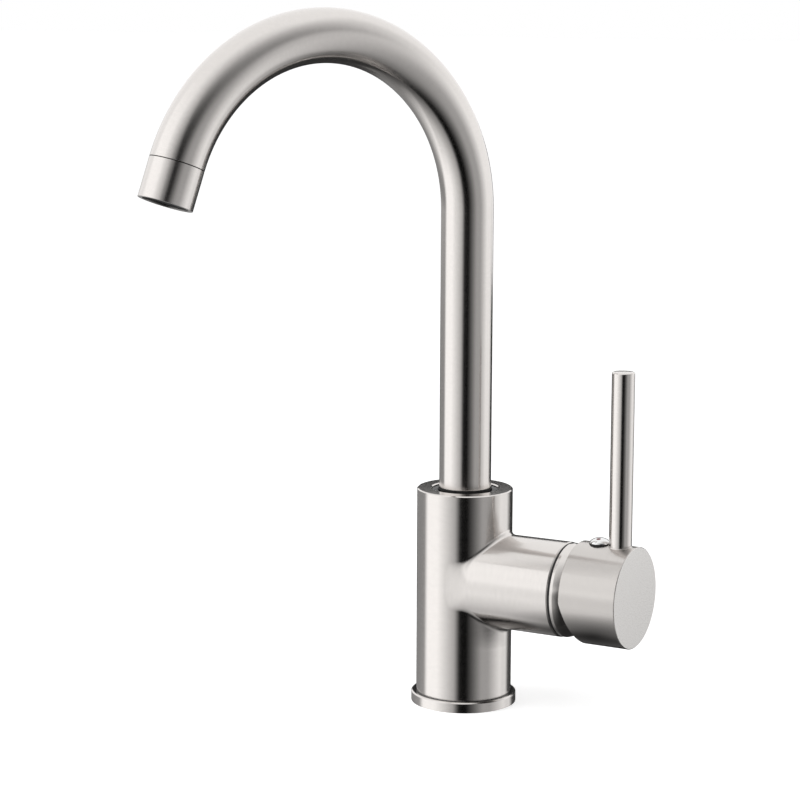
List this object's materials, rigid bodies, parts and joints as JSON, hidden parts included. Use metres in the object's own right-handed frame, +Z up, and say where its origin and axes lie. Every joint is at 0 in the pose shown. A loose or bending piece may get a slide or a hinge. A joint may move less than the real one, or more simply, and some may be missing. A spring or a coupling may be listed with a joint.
{
  "type": "commercial sink faucet",
  "caption": "Deck-mounted kitchen faucet: upright round body, side arm whose cap and pin lever mix the water, and a tall gooseneck spout that swivels.",
  "frame": {"origin": "centre of the body's foot, in the plane of the deck that the faucet stands on", "axes": "+Z up along the body and the spout's swivel axis, +X along the handle's arm; the spout is stored turned to the front left, about 24 degrees from -Y towards -X"},
  "size_m": [0.171, 0.1894, 0.3348],
  "materials": {
    "brushed_nickel": "brushed",
    "polished_chrome": "polished",
    "brass": "machined",
    "rubber": "matt",
    "white_plastic": "satin",
    "grey_plastic": "satin",
    "ceramic": "lapped",
    "steel": "plain"
  },
  "bodies": {
    "faucet_body": {"body": "brushed_nickel", "base_ring": "brushed_nickel", "deck_seal": "rubber", "spout_collar": "brushed_nickel", "upper_slip_washer": "white_plastic", "lower_slip_washer": "white_plastic", "cartridge_base": "grey_plastic", "port_seals": "rubber", "fixed_disc": "ceramic", "cartridge_housing": "grey_plastic", "cartridge_nut": "brass", "bonnet_seal": "rubber", "bonnet": "brushed_nickel"},
    "spout": {"spout_foot": "brass", "spout_o_rings": "rubber", "spout_guide_ring": "white_plastic", "spout_tube": "brushed_nickel", "outlet_nipple": "brass", "outlet_sleeve": "brushed_nickel", "aerator_washer": "rubber", "jet_disc": "white_plastic", "aerator_screens": "steel", "aerator_cage": "grey_plastic"},
    "rotor": {"cartridge_rotor": "white_plastic", "stem_pin": "steel"},
    "sliding_disc": {"moving_disc": "ceramic", "disc_carrier": "white_plastic"},
    "handle": {"cartridge_stem": "brass", "handle_cap": "brushed_nickel", "lever_bar": "brushed_nickel", "set_screw": "steel", "index_plug": "polished_chrome"}
  },
  "joints": [
    {"name": "spout_swivel", "type": "hinge", "parent": "faucet_body", "child": "spout", "pos_m": [0, 0, 0.0956], "axis": [0, 0, 1], "continuous": true},
    {"name": "temperature_turn", "type": "hinge", "parent": "faucet_body", "child": "rotor", "pos_m": [0.0429, 0, 0.0618], "axis": [1, 0, 0], "range_deg": [-45, 45]},
    {"name": "flow_lift", "type": "hinge", "parent": "rotor", "child": "handle", "pos_m": [0.05198, 0, 0.0618], "axis": [0, 1, 0], "range_deg": [0, 22]},
    {"name": "disc_slide", "type": "slide", "parent": "rotor", "child": "sliding_disc", "axis": [0, 0, 1], "range_m": [0, 0.0036]}
  ],
  "couplings": [
    {"joint": "disc_slide", "follows": "flow_lift", "m_per_rad": 0.00935}
  ]
}
